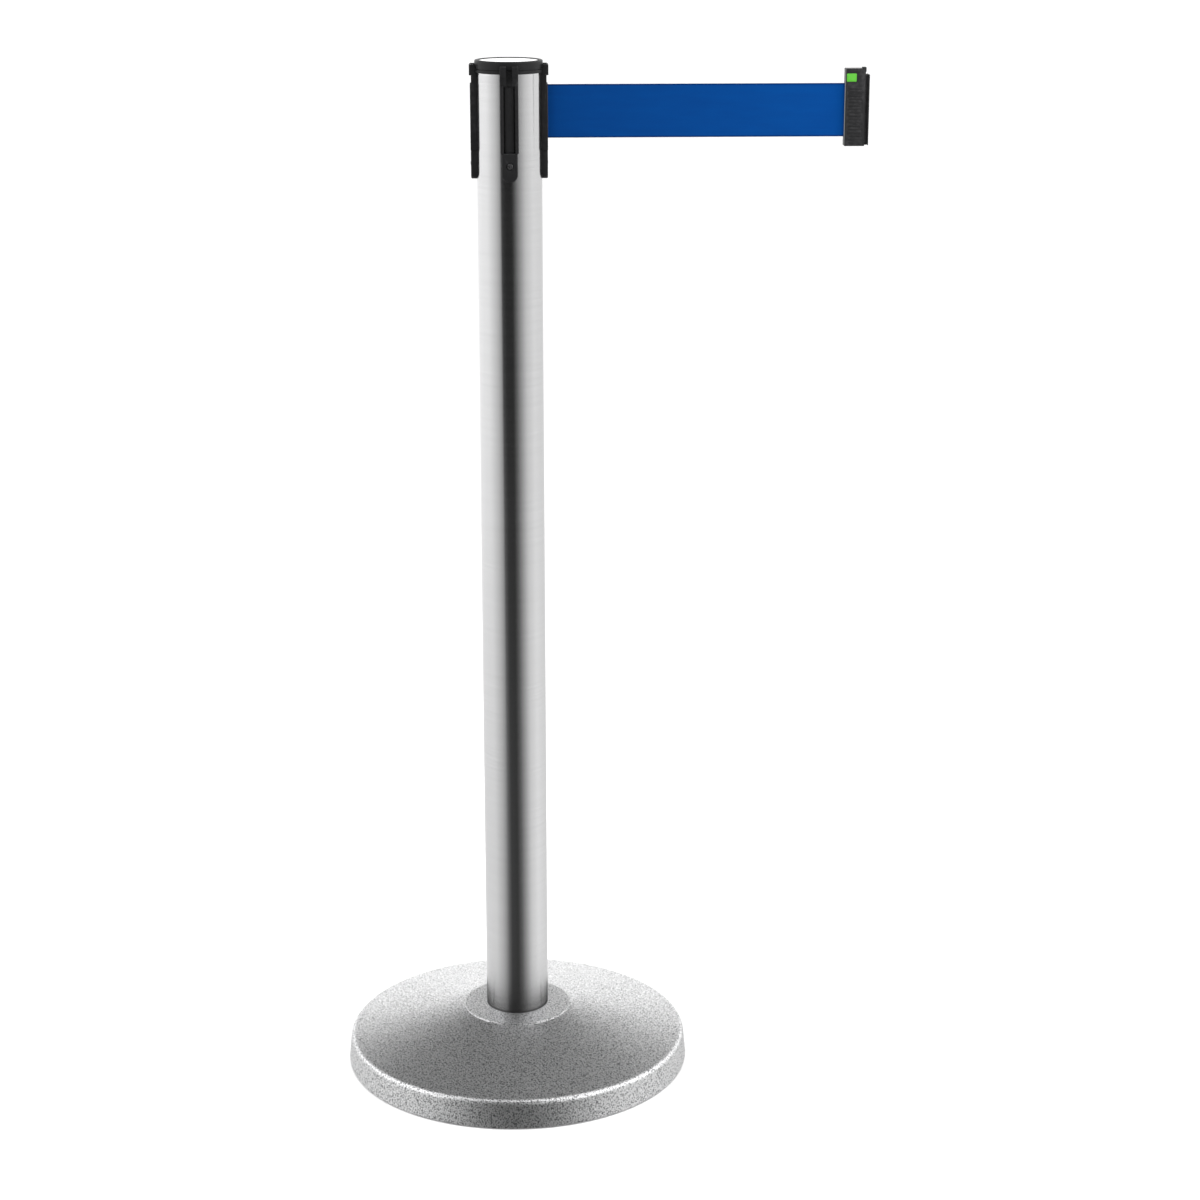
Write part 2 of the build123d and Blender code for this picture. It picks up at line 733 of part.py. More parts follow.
def brake_shoe():
    shoe = sector(shoe_inner_radius, shoe_radius, shoe_low, shoe_low + shoe_height)
    mid = carrier_low + carrier_height / 2
    half = carrier_bar_width / 2 + fit_gap
    pocket = block(0, carrier_bar_end + 0.4, -half, half, mid - half, mid + half)
    return shoe - pocket


def brake_lining():
    return sector(shoe_radius, shoe_radius + lining_thickness, shoe_low + 0.5, shoe_low + shoe_height - 0.5)


def brake_springs():
    """Two bowed strips between the shoes' ends that draw the shoes back to the carrier."""
    place = carrier_radius + leaf_spring_strip / 2
    reach = (place + leaf_spring_bow) / math.tan(math.radians(shoe_half_angle)) - 1.0
    bow = ThreePointArc((-reach, leaf_spring_bow), (0, 0), (reach, leaf_spring_bow))
    strip = extrude(trace(bow, leaf_spring_strip), leaf_spring_height)
    low = carrier_low + (carrier_height - leaf_spring_height) / 2
    return Compound([Pos(0, place, low) * strip, Pos(0, -place, low) * Rot(0, 0, 180) * strip])


def brake_drum():
    """Steel liner that the shoes rub on when the belt runs back too fast."""
    return ring_solid(brake_outer, brake_radius, carrier_low - 1.5, cover_low - 0.5)


def thrust_washer():
    return ring_solid(thrust_radius, shaft_radius + 0.2, carrier_low - thrust_thickness, carrier_low - 0.2)


# ================================================================ belt
def belt_strip():
    """The run of belt from the roll, round a guide pin and out to the belt end."""
    gap = fit_gap
    roll = roll_radius + gap + belt_thickness / 2
    pin = pin_radius + gap + belt_thickness / 2
    pin_y = guide_pin_lines()[0]
    centre = math.hypot(pin_offset, pin_y)
    lean = math.asin((roll + pin) / centre) + math.atan2(pin_y, pin_offset)
    leave = (roll * math.sin(lean), -roll * math.cos(lean))
    meet = (pin_offset - pin * math.sin(lean), pin_y + pin * math.cos(lean))
    straight_y = pin_y + pin
    bend = CenterArc((pin_offset, pin_y), pin, 90, math.degrees(lean))
    lines = [Line(leave, meet), bend, Line((pin_offset, straight_y), (end_near - fit_gap, straight_y))]
    return Pos(0, 0, belt_z - belt_width / 2) * extrude(trace(lines, belt_thickness), belt_width)


def belt_loop():
    """The belt's end, turned back round a pin inside the belt end."""
    x = end_near + belt_pin_inset
    radius = belt_pin_radius + belt_pin_gap + belt_thickness / 2
    lean = math.asin(radius / loop_lead)
    start = (x - loop_lead, 0)
    meet = (x - radius * math.sin(lean), radius * math.cos(lean))
    turn = CenterArc((x, 0), radius, 90 + math.degrees(lean), -180 - math.degrees(lean))
    lead = [Line((end_near + fit_gap, 0), start), Line(start, meet)]
    tail = Line((x, -radius), (x - loop_tail, -radius))
    path = trace(lead + [turn, tail], belt_thickness)
    return Pos(0, 0, belt_z - belt_width / 2) * extrude(path, belt_width)


# ================================================================ belt end
def end_screw_places():
    x = end_near + end_width * 0.45
    return [(x, end_top - end_screw_inset), (x, end_low + end_screw_inset)]


def belt_end_blank():
    """The belt end's body, before it is split into a front and a rear shell."""
    half = end_thickness / 2
    body = block(end_near, end_far, -half, half, end_low, end_top)
    body = fillet(body.edges().filter_by(Axis.Z), end_round)
    body = fillet(body.faces().filter_by(Axis.Z).edges(), end_round * 0.45)
    first = end_top - grip_drop
    for k in range(grip_rib_count):
        z = first - grip_rib_pitch * k
        rib = block(end_near + grip_rib_margin, end_far - grip_rib_margin, -half - grip_rib_height,
                    half + grip_rib_height, z - grip_rib_width / 2, z + grip_rib_width / 2)
        body += chamfer(rib.edges().filter_by(Axis.X), grip_rib_height * 0.8)
    wall = end_wall
    cavity_half = belt_width / 2 + 1
    body -= block(end_near + wall, end_far - wall - tongue_root_depth, wall - half, half - wall,
                  belt_z - cavity_half, belt_z + cavity_half)
    mouth = belt_thickness / 2 + mouth_gap
    body -= block(end_near - 1, end_near + wall + 1, -mouth, mouth,
                  belt_z - cavity_half, belt_z + cavity_half)
    body -= tongue_space()
    body -= button_space()
    return body


def tongue_solid(gap, low, high):
    """The tongue's section run from low to high, grown by gap inside the body."""
    root_x = end_far - tongue_root_depth
    root = block(root_x - gap, root_x + tongue_root + gap, -tongue_root_width / 2 - gap,
                 tongue_root_width / 2 + gap, low, high)
    neck = block(root_x, end_far + tongue_neck + 0.1, -tongue_neck_width / 2 - gap,
                 tongue_neck_width / 2 + gap, low, high)
    return root + neck


def tongue_space():
    return tongue_solid(fit_gap, tongue_low - fit_gap, tongue_top + fit_gap)


def tongue():
    """T-shaped tongue that slides into another post's receiver."""
    head = block(end_far + tongue_neck, end_far + tongue_neck + tongue_head,
                 -tongue_head_width / 2, tongue_head_width / 2, tongue_low, tongue_top)
    head = chamfer(head.edges().filter_by(Axis.Y), 0.5)
    return tongue_solid(0, tongue_low, tongue_top) + head


def button_low():
    """Underside of the release button at rest, clear of the tongue when it is pressed."""
    return tongue_top + button_travel + 3 * fit_gap


def spring_x():
    return end_far - button_width - button_link + button_link_half


def button_space():
    """Well for the button, with a pocket beside it for its link and spring."""
    half = button_depth / 2 + fit_gap
    link_half = button_link_half + fit_gap
    low = button_low() - button_travel - fit_gap
    well = block(end_far - button_width - fit_gap, end_far + 1, -half, half, low, end_top + 1)
    link_top = button_low() + button_link_thickness + fit_gap
    x0 = end_far - button_width - button_link - fit_gap
    x1 = spring_x() + link_half
    pocket = block(x0, x1, -link_half, link_half, button_low() - button_spring_room, link_top)
    passage = block(x0, end_far - button_width, -link_half, link_half, low, link_top)
    return well + pocket + passage


def lock_button():
    """Release button beside the tongue, pressed down by the thumb."""
    half = button_depth / 2
    low = button_low()
    cap = block(end_far - button_width, end_far + button_nose, -half, half, low, end_top + button_proud)
    cap = fillet(cap.edges().filter_by(Axis.Y).sort_by(Axis.Z)[-2:], 0.6)
    link = block(end_far - button_width - button_link, end_far - button_width + 0.5,
                 -button_link_half, button_link_half, low, low + button_link_thickness)
    return cap + link


def lock_spring():
    """Coil spring under the button's link."""
    high = button_low() - fit_gap
    length = button_spring_room - 2 * fit_gap
    pitch = (length - button_spring_wire) / button_spring_turns
    helix = Helix(pitch, length - button_spring_wire, button_spring_radius - button_spring_wire / 2)
    section = Plane(origin=helix @ 0, z_dir=helix % 0) * Circle(button_spring_wire / 2)
    coil = sweep(section, helix)
    return Pos(spring_x(), 0, high - length + button_spring_wire / 2) * coil


def belt_end_front(blank):
    big = end_thickness
    half = blank & block(end_near - 1, end_far + 5, -big, 0, end_low - 1, end_top + 1)
    for x, z in end_screw_places():
        half -= shell_screw_line(x, z, end_screw_radius + press_gap, -end_thickness / 2 + end_screw_wall, 1)
    return half - inlay_solid(fit_gap / 2)


def belt_end_rear(blank):
    big = end_thickness
    half = blank & block(end_near - 1, end_far + 5, 0, big, end_low - 1, end_top + 1)
    seat = end_thickness / 2 - end_screw_head
    for x, z in end_screw_places():
        half -= shell_screw_line(x, z, end_screw_radius + fit_gap, -1, end_thickness)
        half -= shell_screw_line(x, z, end_screw_head_radius + fit_gap, seat, end_thickness)
    return half


def end_screws():
    length = end_thickness - end_screw_head - end_screw_wall - fit_gap
    screw = cross_screw(end_screw_head_radius, end_screw_head * 0.8, end_screw_radius, length)
    seat = end_thickness / 2 - end_screw_head
    screw = Rot(-90, 0, 0) * screw
    return Compound([Pos(x, seat, z) * screw for x, z in end_screw_places()])


def belt_pin():
    half = belt_width / 2 + 1 - fit_gap
    return rod(belt_pin_radius, belt_z - half, belt_z + half, end_near + belt_pin_inset)


def inlay_solid(gap):
    """Plain colour plate let into the front shell."""
    x0 = end_near + inlay_edge + end_round * 0.6
    high = end_top - inlay_drop
    y0 = -end_thickness / 2
    plate = block(x0 - gap, x0 + inlay_width + gap, y0 - inlay_proud, y0 + inlay_depth + gap,
                  high - inlay_height - gap, high + gap)
    return fillet(plate.edges().filter_by(Axis.Y), inlay_round)


# ================================================================ all nodes
def build_nodes():
    shell = shell_blank()
    end_body = belt_end_blank()
    nodes = {
        "base_cover": base_cover(),
        "base_weight": base_weight(),
        "floor_ring": floor_ring(),
        "base_bolt": base_bolt(),
        "bolt_washer": bolt_washer(),
        "spring_washer": spring_washer(),
        "tube_plug": tube_plug(),
        "tube": tube(),
        "head_ring": head_ring(),
        "ring_screws": ring_screws(),
        "top_disc": top_disc(),
        "arm_screws": arm_screws(),
        "cassette_front": cassette_front(shell),
        "cassette_rear": cassette_rear(shell),
        "cassette_screws": cassette_screws(),
        "spool_shaft": spool_shaft(),
        "shaft_clip": shaft_clip(),
        "guide_pins": guide_pins(),
        "belt_guide": belt_guide(),
        "main_spring": main_spring(),
        "brake_drum": brake_drum(),
        "thrust_washer": thrust_washer(),
        "spool": spool(),
        "belt_roll": belt_roll(),
        "core_pin": core_pin(),
        "upper_bush": upper_bush(),
        "lower_bush": lower_bush(),
        "spring_drum": spring_drum(),
        "drum_screws": drum_screws(),
        "drum_cover": drum_cover(),
        "brake_carrier": brake_carrier(),
        "brake_springs": brake_springs(),
        "belt_strip": belt_strip(),
        "belt_loop": belt_loop(),
        "belt_end_front": belt_end_front(end_body),
        "belt_end_rear": belt_end_rear(end_body),
        "end_screws": end_screws(),
        "belt_pin": belt_pin(),
        "tongue": tongue(),
        "inlay": inlay_solid(0),
        "lock_button": lock_button(),
        "lock_spring": lock_spring(),
    }
    for side, angle in sides.items():
        outlet = side not in receivers
        nodes["arm_" + side] = about_post(angle, arm(outlet))
        nodes["tab_" + side] = about_post(angle, tab())
    for name, angle in (("a", 0), ("b", 180)):
        nodes["brake_shoe_" + name] = about_post(angle, brake_shoe())
        nodes["brake_lining_" + name] = about_post(angle, brake_lining())
    return nodes


os.makedirs("parts", exist_ok=True)
for node, solid in build_nodes().items():
    export_step(solid, f"parts/{node}.step")
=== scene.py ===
import json
import math

import bmesh
import bpy
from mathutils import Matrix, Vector


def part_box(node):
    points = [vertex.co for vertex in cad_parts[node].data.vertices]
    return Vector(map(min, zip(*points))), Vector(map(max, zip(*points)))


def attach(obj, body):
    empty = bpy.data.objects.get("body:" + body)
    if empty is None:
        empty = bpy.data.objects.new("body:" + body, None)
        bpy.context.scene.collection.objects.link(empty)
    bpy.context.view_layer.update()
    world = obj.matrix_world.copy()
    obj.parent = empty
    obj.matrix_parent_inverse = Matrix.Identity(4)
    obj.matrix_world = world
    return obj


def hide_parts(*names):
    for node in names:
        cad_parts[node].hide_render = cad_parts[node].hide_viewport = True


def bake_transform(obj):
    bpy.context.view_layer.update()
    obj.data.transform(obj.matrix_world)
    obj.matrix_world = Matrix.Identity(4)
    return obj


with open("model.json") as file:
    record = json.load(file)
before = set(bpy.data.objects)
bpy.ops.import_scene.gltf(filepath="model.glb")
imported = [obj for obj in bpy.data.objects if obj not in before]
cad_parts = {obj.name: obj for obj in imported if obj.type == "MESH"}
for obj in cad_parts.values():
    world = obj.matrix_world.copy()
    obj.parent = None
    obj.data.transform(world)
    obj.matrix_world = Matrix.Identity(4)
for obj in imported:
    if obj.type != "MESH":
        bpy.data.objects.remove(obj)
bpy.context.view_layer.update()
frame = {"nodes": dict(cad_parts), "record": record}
scene = bpy.context.scene
print("stage: frame loaded")


# ---- shader maths and node helpers

class Wire:
    # an output socket that can be used in an expression
    def __init__(self, sheet, socket):
        self.sheet = sheet
        self.socket = socket

    def maths(self, how, *values):
        return self.sheet.node("ShaderNodeMath", {"operation": how}, dict(enumerate(values)))

    def __add__(self, other):
        return self.maths("ADD", self, other)

    def __sub__(self, other):
        return self.maths("SUBTRACT", self, other)

    def __rsub__(self, other):
        return self.maths("SUBTRACT", other, self)

    def __mul__(self, other):
        return self.maths("MULTIPLY", self, other)

    def __truediv__(self, other):
        return self.maths("DIVIDE", self, other)

    def sine(self):
        return self.maths("SINE", self)

    def size(self):
        return self.maths("ABSOLUTE", self)

    def above(self, other):
        return self.maths("GREATER_THAN", self, other)


class NodeSheet:
    # any node tree: materials, world and geometry recipes all go through node()
    def __init__(self, tree):
        self.tree = tree

    def node(self, kind, settings=None, values=None, out=0):
        # settings are the node's own choices; values go into its inputs, as links or as numbers
        made = self.tree.nodes.new(kind)
        for key, value in (settings or {}).items():
            if key == "stops":
                ramp = made.color_ramp
                while len(ramp.elements) < len(value):
                    ramp.elements.new(0.5)
                for stop, (place, colour) in zip(ramp.elements, value):
                    stop.position = place
                    stop.color = colour
            else:
                setattr(made, key, value)
        for key, value in (values or {}).items():
            if isinstance(value, Wire):
                self.tree.links.new(value.socket, made.inputs[key])
            else:
                made.inputs[key].default_value = value
        return Wire(self, made.outputs[out]) if len(made.outputs) else made

    def mix(self, share, first, second):
        # from the first colour to the second, by share
        return self.node("ShaderNodeMix", {"data_type": "RGBA"}, {0: share, 6: first, 7: second}, 2)

    def steps(self, wire, low, high, newLow=0.0, newHigh=1.0):
        # a value from low to high becomes one from newLow to newHigh
        return self.node("ShaderNodeMapRange", {}, {"Value": wire, "From Min": low, "From Max": high,
                                                   "To Min": newLow, "To Max": newHigh})


class Finish(NodeSheet):
    # one material, on object coordinates
    def __init__(self, name):
        self.material = bpy.data.materials.new(name)
        self.material.use_nodes = True
        super().__init__(self.material.node_tree)
        self.tree.nodes.clear()
        self.place = self.node("ShaderNodeTexCoord", out=3)

    def stretched(self, x, y, z):
        return self.node("ShaderNodeVectorMath", {"operation": "MULTIPLY"}, {0: self.place, 1: (x, y, z)})

    def axis(self, which):
        return self.node("ShaderNodeSeparateXYZ", {}, {0: self.place}, which)

    def noise(self, scale, detail=3.0, rough=0.5, where=None):
        return self.node("ShaderNodeTexNoise", {}, {"Vector": where or self.place, "Scale": scale,
                                                    "Detail": detail, "Roughness": rough})

    def bump(self, height, strength, distance):
        values = {"Height": height, "Strength": strength, "Distance": distance}
        return self.node("ShaderNodeBump", {}, values)

    def shade(self, sockets):
        shader = self.node("ShaderNodeBsdfPrincipled", {}, sockets)
        self.node("ShaderNodeOutputMaterial", {}, {0: shader})
        return self.material


def tint(red, green, blue):
    # a screen colour as the shader's linear one
    shares = [c / 255 for c in (red, green, blue)]
    return tuple(((s + 0.055) / 1.055) ** 2.4 if s > 0.04 else s / 12.92 for s in shares) + (1,)


# ---- finishes

def brushedTube():
    # brushed round the tube, so the gloss spreads up and down it
    f = Finish("brushedTube")
    fine = f.noise(1.0, detail=2.0, rough=0.6, where=f.stretched(9, 9, 2600))
    broad = f.noise(1.0, rough=0.6, where=f.stretched(5, 5, 260))
    smear = f.noise(6.0)
    lines = fine * 0.7 + broad * 0.3
    colour = f.mix(f.steps(lines, 0.3, 0.7), (0.80, 0.80, 0.805, 1), (0.89, 0.89, 0.895, 1))
    rough = f.steps(lines * 0.7 + smear * 0.3, 0.3, 0.7, 0.16, 0.24)
    return f.shade({
        "Base Color": colour,
        "Metallic": 1.0,
        "Roughness": rough,
        "Anisotropic": 0.85,
        "Anisotropic Rotation": 0.25,
        "Normal": f.bump(lines, strength=0.1, distance=0.00015),
    })


def silverCoat():
    # a metallic coat with a sandy grain, which throws the light about in small specks
    f = Finish("silverCoat")
    sand = f.noise(600.0, detail=2.0, rough=0.7)
    grit = f.noise(720.0, detail=2.0, rough=0.7, where=f.stretched(1.0, 1.03, 0.97))
    cloud = f.noise(24.0, detail=4.0, rough=0.6)
    colour = f.mix(cloud, (0.78, 0.783, 0.788, 1), (0.86, 0.862, 0.866, 1))
    colour = f.mix(f.steps(sand, 0.52, 0.6), colour, (1.0, 1.0, 1.0, 1))
    colour = f.mix(f.steps(grit, 0.52, 0.58) * 0.92, colour, (0.11, 0.112, 0.118, 1))
    return f.shade({
        "Base Color": colour,
        "Metallic": 0.94,
        "Roughness": f.steps(sand, 0.3, 0.7, 0.38, 0.25),
        "Normal": f.bump(sand * 0.6 + grit * 0.4, strength=1.0, distance=0.00042),
    })


def mouldedBlack():
    # a fine moulded grain, a little paler at sharp edges, partly as wear and partly as a painted edge
    # highlight
    f = Finish("mouldedBlack")
    pebble = f.noise(2600.0, detail=2.0, rough=0.6)
    flow = f.noise(40.0, detail=4.0, rough=0.6)
    edge = f.node("ShaderNodeNewGeometry", out=7)
    # paler at sharp edges: partly wear, partly a painted highlight along the edges
    wearAndEdgeHighlight = f.steps(edge, 0.53, 0.62) * f.steps(f.noise(300.0, detail=4.0), 0.42, 0.62)
    colour = f.mix(flow, (0.0082, 0.0082, 0.0086, 1), (0.013, 0.013, 0.0136, 1))
    colour = f.mix(wearAndEdgeHighlight * 0.12, colour, (0.085, 0.085, 0.088, 1))
    return f.shade({
        "Base Color": colour,
        "Roughness": f.steps(flow * 0.4 + pebble * 0.6, 0.3, 0.7, 0.34, 0.48),
        "Specular IOR Level": 0.22,
        "Normal": f.bump(pebble, strength=0.18, distance=0.0001),
    })


def whiteDisc():
    # glossy, with faint wiping marks along one direction
    f = Finish("whiteDisc")
    haze = f.noise(90.0, detail=4.0, rough=0.6)
    scuff = f.noise(1.0, rough=0.6, where=f.stretched(60, 900, 1))
    colour = f.mix(haze, (0.86, 0.86, 0.855, 1), (0.93, 0.93, 0.925, 1))
    return f.shade({
        "Base Color": colour,
        "Roughness": f.steps(scuff, 0.3, 0.7, 0.22, 0.36),
        "Normal": f.bump(scuff, strength=0.05, distance=0.0001),
    })


def beltWeave():
    # warp ribs run along the belt, weft crosses them, and a thick cord lies in each edge
    f = Finish("beltWeave")
    facts = {"ribPitch": 0.0011, "crossPitch": 0.0009, "edgeInner": 0.0017, "edgeOuter": 0.0012}
    along = f.axis(0)
    up = f.axis(2)
    rib = (up * (2 * math.pi / facts["ribPitch"])).sine()
    everySecond = (up * (math.pi / facts["ribPitch"])).sine().above(0)
    cross = (along * (2 * math.pi / facts["crossPitch"]) + everySecond * math.pi).sine()
    thread = rib.size() * 0.55 + cross * 0.45
    fromLow = up - beltFacts["low"]
    fromEdge = fromLow.maths("MINIMUM", fromLow, beltFacts["high"] - up)
    edge = 1 - f.steps(fromEdge, facts["edgeOuter"], facts["edgeInner"])
    fade = f.noise(1.0, where=f.stretched(25, 1, 160))
    deep = tint(0, 38, 90)
    light = tint(0, 56, 114)
    colour = f.mix(f.steps(thread, 0.0, 1.0) * 0.5 + fade * 0.5, deep, light)
    colour = f.mix(edge * 0.8, colour, tint(0, 26, 66))
    fuzz = f.noise(2500.0, detail=2.0, rough=0.7)
    height = thread + fuzz * 0.4 + edge * 1.2
    return f.shade({
        "Base Color": colour,
        "Roughness": f.steps(fuzz, 0.3, 0.7, 0.62, 0.8),
        "Specular IOR Level": 0.05,
        "Sheen Weight": 0.02,
        "Sheen Roughness": 0.4,
        "Sheen Tint": tint(60, 130, 220),
        "Normal": f.bump(height, strength=0.35, distance=0.00025),
    })


def plainFinish(name, dark, light, metallic=0.0, rough=(0.4, 0.55), scale=400.0, depth=0.1):
    # one colour that varies a little, over a fine grain
    f = Finish(name)
    fine = f.noise(scale * 4, detail=2.0, rough=0.6)
    grain = fine * 0.5 + f.noise(scale / 8, detail=4.0, rough=0.6) * 0.5
    return f.shade({
        "Base Color": f.mix(grain, (*dark, 1), (*light, 1)),
        "Metallic": metallic,
        "Roughness": f.steps(grain, 0.3, 0.7, *rough),
        "Normal": f.bump(fine, strength=depth, distance=0.0001),
    })


beltFacts = {"low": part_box("belt_strip")[0][2], "high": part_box("belt_strip")[1][2]}
finishes = {
    "brushed_tube": brushedTube(),
    "silver_coat": silverCoat(),
    "black_moulding": mouldedBlack(),
    "white_disc": whiteDisc(),
    "blue_belt": beltWeave(),
    "black_screw": plainFinish("blackScrew", (0.09, 0.09, 0.092), (0.14, 0.14, 0.143),
                               metallic=0.85, rough=(0.3, 0.42)),
    "zinc_steel": plainFinish("zincSteel", (0.5, 0.51, 0.53), (0.68, 0.69, 0.7),
                              metallic=1.0, rough=(0.25, 0.4)),
    "spring_steel": plainFinish("springSteel", (0.22, 0.24, 0.28), (0.4, 0.42, 0.45),
                                metallic=1.0, rough=(0.25, 0.35)),
    "cast_alloy": plainFinish("castAlloy", (0.45, 0.45, 0.46), (0.6, 0.6, 0.61),
                              metallic=1.0, rough=(0.45, 0.6), scale=300.0, depth=0.4),
    "raw_iron": plainFinish("rawIron", (0.035, 0.035, 0.038), (0.075, 0.073, 0.07),
                            metallic=0.5, rough=(0.6, 0.8), scale=200.0, depth=0.8),
    "black_rubber": plainFinish("footRubber", (0.012, 0.012, 0.012), (0.024, 0.024, 0.024),
                                rough=(0.65, 0.8)),
    "grey_nylon": plainFinish("greyNylon", (0.14, 0.14, 0.145), (0.2, 0.2, 0.205)),
    "white_acetal": plainFinish("whiteAcetal", (0.7, 0.7, 0.68), (0.8, 0.8, 0.78)),
    "bronze_bush": plainFinish("bronzeBush", (0.45, 0.28, 0.12), (0.6, 0.4, 0.18),
                               metallic=1.0, rough=(0.35, 0.5)),
    "brake_lining": plainFinish("brakeLining", (0.06, 0.03, 0.02), (0.12, 0.07, 0.05), rough=(0.75, 0.9)),
    "green_inlay": plainFinish("greenInlay", (0.035, 0.2, 0.007), (0.05, 0.25, 0.011), rough=(0.35, 0.5)),
}
slotOf = {part["node"]: part["material_slot"] for part in frame["record"]["subparts"]}
bodyOf = {node: body for body, nodes in frame["record"]["behaviour"]["bodies"].items() for node in nodes}


def dress(thing, finish):
    thing.data.materials.clear()
    thing.data.materials.append(finish)


for nodeName, thing in frame["nodes"].items():
    dress(thing, finishes[slotOf[nodeName]])
print("stage: finishes made")


# ---- piece helpers

sameSpot = 1e-7  # points closer than this are one


def settle(name, mesh, finish, body, stands, smoothAngle=32):
    # a finished mesh becomes a piece that rides on a body; a piece given no body is left unattached
    thing = bpy.data.objects.new(name, mesh)
    scene.collection.objects.link(thing)
    dress(thing, finishes[finish])
    mesh.shade_smooth()
    mesh.set_sharp_from_angle(angle=math.radians(smoothAngle))
    if body:
        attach(thing, body)
    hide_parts(*stands)
    return thing


def baked(thing, name):
    # the evaluated shape as a plain mesh, and the maker object is gone
    bpy.context.view_layer.update()
    graph = bpy.context.evaluated_depsgraph_get()
    mesh = bpy.data.meshes.new_from_object(thing.evaluated_get(graph))
    mesh.name = name
    bpy.data.objects.remove(thing)
    return mesh


class Recipe(NodeSheet):
    # a geometry tree with named inputs, which ends in Realize Instances and Set Material
    def __init__(self, name, inputs):
        group = bpy.data.node_groups.new(name, "GeometryNodeTree")
        super().__init__(group)
        group.interface.new_socket("Geometry", in_out="INPUT", socket_type="NodeSocketGeometry")
        kinds = {float: "NodeSocketFloat", int: "NodeSocketInt", bpy.types.Material: "NodeSocketMaterial"}
        for key, value in inputs.items():
            group.interface.new_socket(key, in_out="INPUT", socket_type=kinds[type(value)])
        group.interface.new_socket("Geometry", in_out="OUTPUT", socket_type="NodeSocketGeometry")
        self.values = inputs
        self.entry = group.nodes.new("NodeGroupInput")

    def given(self, name):
        return Wire(self, self.entry.outputs[name])

    def finish(self, shape):
        real = self.node("GeometryNodeRealizeInstances", {}, {0: shape})
        coat = {"Geometry": real, "Material": self.given("Material")}
        whole = self.node("GeometryNodeSetMaterial", {}, coat)
        self.node("NodeGroupOutput", {}, {0: whole})

    def make(self, name, start):
        thing = bpy.data.objects.new(name, start)
        scene.collection.objects.link(thing)
        change = thing.modifiers.new("recipe", "NODES")
        change.node_group = self.tree
        for item in self.tree.interface.items_tree:
            if item.in_out == "INPUT" and item.name in self.values:
                change[item.identifier] = self.values[item.name]
        return baked(thing, name)


def merged(mesh):
    # doubles joined and faces turned outwards
    work = bmesh.new()
    work.from_mesh(mesh)
    bmesh.ops.remove_doubles(work, verts=work.verts, dist=sameSpot)
    bmesh.ops.recalc_face_normals(work, faces=work.faces)
    work.to_mesh(mesh)
    work.free()
    return mesh


def outline(corners, steps):
    # (x, y, radius) corners become a closed line with rounded turns
    points = []
    count = len(corners)
    for k, (x, y, radius) in enumerate(corners):
        here = Vector((x, y))
        before = Vector(corners[k - 1][:2]) - here
        after = Vector(corners[(k + 1) % count][:2]) - here
        if radius <= 0:
            points.append(here)
            continue
        reach = min(radius, before.length * 0.49, after.length * 0.49)
        a = here + before.normalized() * reach
        b = here + after.normalized() * reach
        for s in range(steps + 1):
            t = s / steps
            points.append((1 - t) ** 2 * a + 2 * t * (1 - t) * here + t * t * b)
    return points


def turned(name, node, finish, corners, sides=256, steps=5):
    # a closed profile of (radius, height, rounding) in metres, swept round the post's axis
    points = outline(corners, steps)
    count = len(points)
    line = bpy.data.meshes.new(name + "Profile")
    line.from_pydata([(p[0], 0, p[1]) for p in points], [(k, (k + 1) % count) for k in range(count)], [])
    r = Recipe(name + "Sweep", {"Segments": sides, "Material": finishes[finish]})
    segments = r.given("Segments")

    # the profile, once for each segment
    ring = r.node("GeometryNodeMeshLine", {}, {"Count": segments, "Offset": (0, 0, 0)})
    turn = r.node("GeometryNodeInputIndex")
    spin = r.node("ShaderNodeCombineXYZ", {}, {2: turn * (2 * math.pi) / segments})
    rails = r.node("GeometryNodeInstanceOnPoints", {}, {"Points": ring, "Instance": r.given("Geometry"),
                                                        "Rotation": spin})
    rails = r.node("GeometryNodeRealizeInstances", {}, {0: rails})

    # a grid laid over those profiles and joined to itself both ways
    grid = r.node("GeometryNodeMeshGrid", {}, {"Vertices X": segments + 1, "Vertices Y": count + 1,
                                               "Size X": 1.0, "Size Y": 1.0})
    index = r.node("GeometryNodeInputIndex")
    column = index.maths("FLOOR", index / (count + 1))
    row = index - column * (count + 1)
    source = column.maths("MODULO", column, segments) * count + row.maths("MODULO", row, count)
    where = r.node("GeometryNodeInputPosition")
    spot = r.node("GeometryNodeSampleIndex", {"data_type": "FLOAT_VECTOR"},
                  {"Geometry": rails, "Value": where, "Index": source})
    skin = r.node("GeometryNodeSetPosition", {}, {"Geometry": grid, "Position": spot})
    skin = r.node("GeometryNodeMergeByDistance", {}, {"Geometry": skin, "Distance": sameSpot})
    r.finish(skin)
    return settle(name, merged(r.make(name, line)), finish, "post", [node])


def softened(node, width):
    # a copy of a CAD part with its sharp edges rounded
    facts = {"joinGap": 2e-6, "flatAngle": 0.5, "edgeAngle": 35, "segments": 2, "smoothAngle": 40}
    mesh = frame["nodes"][node].data.copy()
    flat = math.radians(facts["flatAngle"])
    work = bmesh.new()
    work.from_mesh(mesh)
    bmesh.ops.remove_doubles(work, verts=work.verts, dist=facts["joinGap"])
    bmesh.ops.dissolve_limit(work, angle_limit=flat, verts=work.verts, edges=work.edges)
    work.to_mesh(mesh)
    work.free()
    thing = bpy.data.objects.new(node, mesh)
    scene.collection.objects.link(thing)
    edges = thing.modifiers.new("edges", "BEVEL")
    edges.width = width
    edges.segments = facts["segments"]
    edges.limit_method = "ANGLE"
    edges.angle_limit = math.radians(facts["edgeAngle"])
    made = baked(thing, node + "Body")
    settle(node + "Body", made, slotOf[node], bodyOf[node], [node], facts["smoothAngle"])


# ---- base dish, tube, head ring and disc

